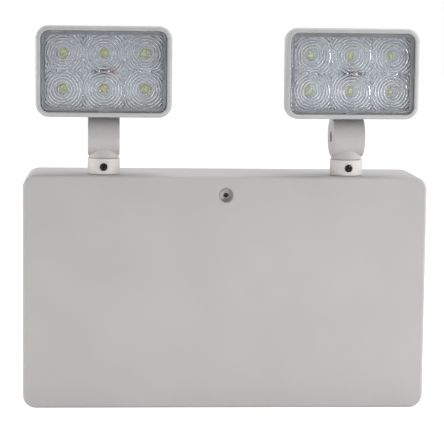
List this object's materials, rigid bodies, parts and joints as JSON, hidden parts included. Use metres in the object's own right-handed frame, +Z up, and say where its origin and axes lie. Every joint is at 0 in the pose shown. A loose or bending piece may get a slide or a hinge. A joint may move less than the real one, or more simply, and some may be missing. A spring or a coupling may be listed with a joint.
{
  "type": "twin head emergency light",
  "caption": "Shallow white wall box with rectangular LED lamp heads on short arms that turn and tilt on its top, and a test button under it.",
  "frame": {"origin": "middle of the wall face: halfway across and halfway up the back of the box", "axes": "+X to the viewer's right, +Y into the wall, so the front faces -Y, and +Z up"},
  "size_m": [0.275, 0.0702, 0.2604],
  "materials": {
    "housing_plastic": "fine matt moulded, near white",
    "head_plastic": "fine matt moulded, near white",
    "clear_lens": "clear moulded plastic, polished front, ringed back",
    "zinc_screws": "zinc plated",
    "dark_screws": "blackened",
    "sheet_steel": "plain sheet steel",
    "turned_brass": "turned",
    "copper_wire": "enamelled winding under tape",
    "rubber": "matt",
    "cable_sheath": "flexible sheath",
    "black_wire": "flexible insulation",
    "red_wire": "flexible insulation",
    "green_board": "solder resist",
    "white_board": "white solder resist",
    "led_yellow": "phosphor under silicone",
    "dark_plastic": "moulded",
    "blue_plastic": "moulded",
    "green_plastic": "moulded",
    "cream_plastic": "moulded",
    "cell_sleeve": "shrink sleeve",
    "button_plastic": "moulded",
    "red_plastic": "moulded",
    "green_lens": "tinted clear"
  },
  "bodies": {
    "housing": {"front_housing": "housing_plastic", "back_plate": "housing_plastic", "cover_screw": "zinc_screws", "screw_insert": "turned_brass", "cable_bush": "rubber", "circuit_board": "green_board", "board_screws": "zinc_screws", "transformer_core": "sheet_steel", "transformer_winding": "copper_wire", "capacitors": "dark_plastic", "relay": "blue_plastic", "control_chips": "dark_plastic", "terminal_block": "green_plastic", "terminal_screws": "turned_brass", "board_connectors": "cream_plastic", "battery_cells": "cell_sleeve", "battery_end_caps": "dark_plastic", "battery_clips": "dark_plastic", "battery_lead": "cable_sheath", "lamp_leads": "cable_sheath", "switch_board": "green_board", "switch_board_screws": "zinc_screws", "test_switch": "dark_plastic", "indicator_light": "green_lens"},
    "test_button": {"test_button": "button_plastic", "switch_plunger": "red_plastic", "test_spring": "zinc_screws"},
    "left_arm": {"left_collar": "housing_plastic", "left_stop_washer": "sheet_steel", "left_ring_nut": "turned_brass", "left_collar_screw": "dark_screws", "left_arm": "housing_plastic", "left_pivot_screw": "zinc_screws", "left_pivot_nut": "zinc_screws", "left_arm_cable": "cable_sheath"},
    "left_head": {"left_rear_shell": "head_plastic", "left_lens_frame": "head_plastic", "left_lens": "clear_lens", "left_led_board": "white_board", "left_leds": "led_yellow", "left_black_lead": "black_wire", "left_red_lead": "red_wire"},
    "right_arm": {"right_collar": "housing_plastic", "right_stop_washer": "sheet_steel", "right_ring_nut": "turned_brass", "right_collar_screw": "dark_screws", "right_arm": "housing_plastic", "right_pivot_screw": "zinc_screws", "right_pivot_nut": "zinc_screws", "right_arm_cable": "cable_sheath"},
    "right_head": {"right_rear_shell": "head_plastic", "right_lens_frame": "head_plastic", "right_lens": "clear_lens", "right_led_board": "white_board", "right_leds": "led_yellow", "right_black_lead": "black_wire", "right_red_lead": "red_wire"}
  },
  "joints": [
    {"name": "left_pan", "type": "hinge", "parent": "housing", "child": "left_arm", "pos_m": [-0.083, -0.047, 0.08], "axis": [0, 0, 1], "range_deg": [-90, 90]},
    {"name": "left_tilt", "type": "hinge", "parent": "left_arm", "child": "left_head", "pos_m": [-0.083, -0.047, 0.1064], "axis": [1, 0, 0], "range_deg": [-25, 60]},
    {"name": "right_pan", "type": "hinge", "parent": "housing", "child": "right_arm", "pos_m": [0.083, -0.047, 0.08], "axis": [0, 0, 1], "range_deg": [-93, 87]},
    {"name": "right_tilt", "type": "hinge", "parent": "right_arm", "child": "right_head", "pos_m": [0.083, -0.047, 0.1064], "axis": [0.9986, 0.0523, 0], "range_deg": [-25, 60]},
    {"name": "test_press", "type": "slide", "parent": "housing", "child": "test_button", "axis": [0, 0, 1], "range_m": [0, 0.0015], "stiffness_N_per_m": 600, "springref_m": -0.001, "deforming": ["test_spring"]}
  ]
}
